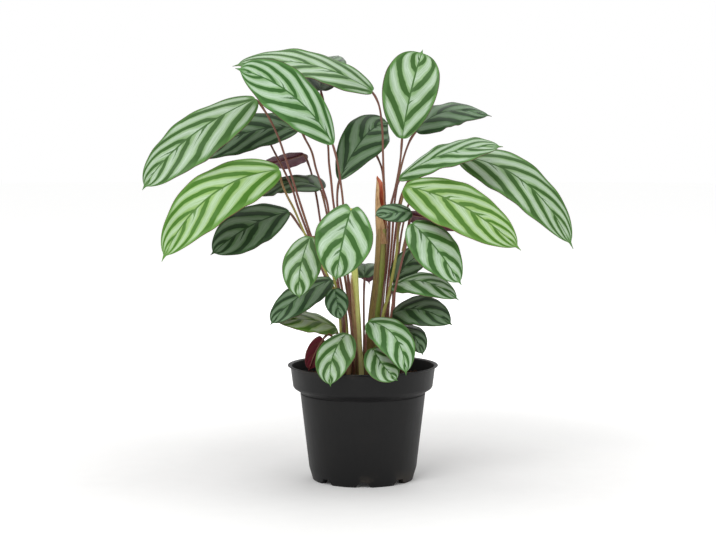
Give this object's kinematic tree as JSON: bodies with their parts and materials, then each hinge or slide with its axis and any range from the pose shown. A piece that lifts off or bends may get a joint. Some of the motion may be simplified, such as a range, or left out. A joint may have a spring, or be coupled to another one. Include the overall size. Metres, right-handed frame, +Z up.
{
  "type": "potted calathea",
  "caption": "House plant in a round black nursery pot: a clump of silver and green herringbone leaves on thin stalks, standing in soil.",
  "frame": {"origin": "on the pot's axis, level with the underside of its feet, at the centre of the moulding gate under the base", "axes": "+Z up; -Y is the front of the plant; +X is to the right when seen from the front"},
  "size_m": [0.4726, 0.2926, 0.4929],
  "materials": {
    "pot_plastic": "moulded black polypropylene, satin, with a soft vertical sheen",
    "soil_earth": "dark, damp, fibrous potting soil",
    "leaf_mature": "silver-green ground with dark green herringbone bands, maroon underneath",
    "leaf_fresh": "young leaf: bright yellow-green bands on a pale ground",
    "leaf_shaded": "dull dark green bands on a grey-green ground, maroon underneath",
    "stalk_maroon": "smooth brown-maroon leaf stalk",
    "stalk_green": "smooth yellow-green leaf stalk",
    "shoot_pale": "pale yellow-green young shoot",
    "shoot_papery": "olive pseudostem in dry, papery brown sheaths"
  },
  "bodies": {
    "root": {"leaf_far_left": "leaf_mature", "leaf_left_shaded": "leaf_shaded", "leaf_crown_back": "leaf_mature", "leaf_crown_front": "leaf_mature", "leaf_centre_back": "leaf_shaded", "leaf_upright": "leaf_mature", "leaf_upper_right_back": "leaf_shaded", "leaf_upper_right": "leaf_mature", "leaf_far_right": "leaf_mature", "leaf_right_bright": "leaf_fresh", "leaf_right_inner": "leaf_shaded", "leaf_small_centre": "leaf_shaded", "leaf_right_hanging": "leaf_mature", "leaf_right_tucked": "leaf_shaded", "leaf_low_right_upper": "leaf_mature", "leaf_low_right": "leaf_shaded", "leaf_left_bright": "leaf_fresh", "leaf_left_lower": "leaf_shaded", "leaf_left_inner": "leaf_shaded", "leaf_left_turned": "leaf_shaded", "leaf_heart": "leaf_mature", "leaf_left_hanging": "leaf_mature", "leaf_low_left": "leaf_shaded", "leaf_low_left_bright": "leaf_fresh", "leaf_small_front": "leaf_shaded", "leaf_rim_edge": "leaf_fresh", "leaf_rim_front": "leaf_fresh", "leaf_rim_right": "leaf_mature", "leaf_rim_right_under": "leaf_mature", "leaf_rim_far_right": "leaf_shaded", "leaf_crown_rear": "leaf_shaded", "leaf_rear_right": "leaf_mature", "leaf_rear_left": "leaf_mature", "leaf_rear_centre": "leaf_mature", "leaf_rear_low": "leaf_shaded", "stalk_far_left": "stalk_maroon", "stalk_left_shaded": "stalk_maroon", "stalk_crown_back": "stalk_maroon", "stalk_crown_front": "stalk_maroon", "stalk_centre_back": "stalk_maroon", "stalk_upright": "stalk_maroon", "stalk_upper_right_back": "stalk_maroon", "stalk_upper_right": "stalk_maroon", "stalk_far_right": "stalk_maroon", "stalk_right_bright": "stalk_green", "stalk_right_inner": "stalk_maroon", "stalk_right_hanging": "stalk_maroon", "stalk_left_bright": "stalk_green", "stalk_left_lower": "stalk_maroon", "stalk_left_inner": "stalk_maroon", "stalk_left_turned": "stalk_maroon", "stalk_left_hanging": "stalk_green", "stalk_crown_rear": "stalk_maroon", "stalk_rear_right": "stalk_maroon", "stalk_rear_left": "stalk_maroon", "stalk_rear_centre": "stalk_maroon", "shoot_left": "shoot_pale", "shoot_right": "shoot_papery", "pot": "pot_plastic", "soil": "soil_earth"}
  },
  "joints": []
}
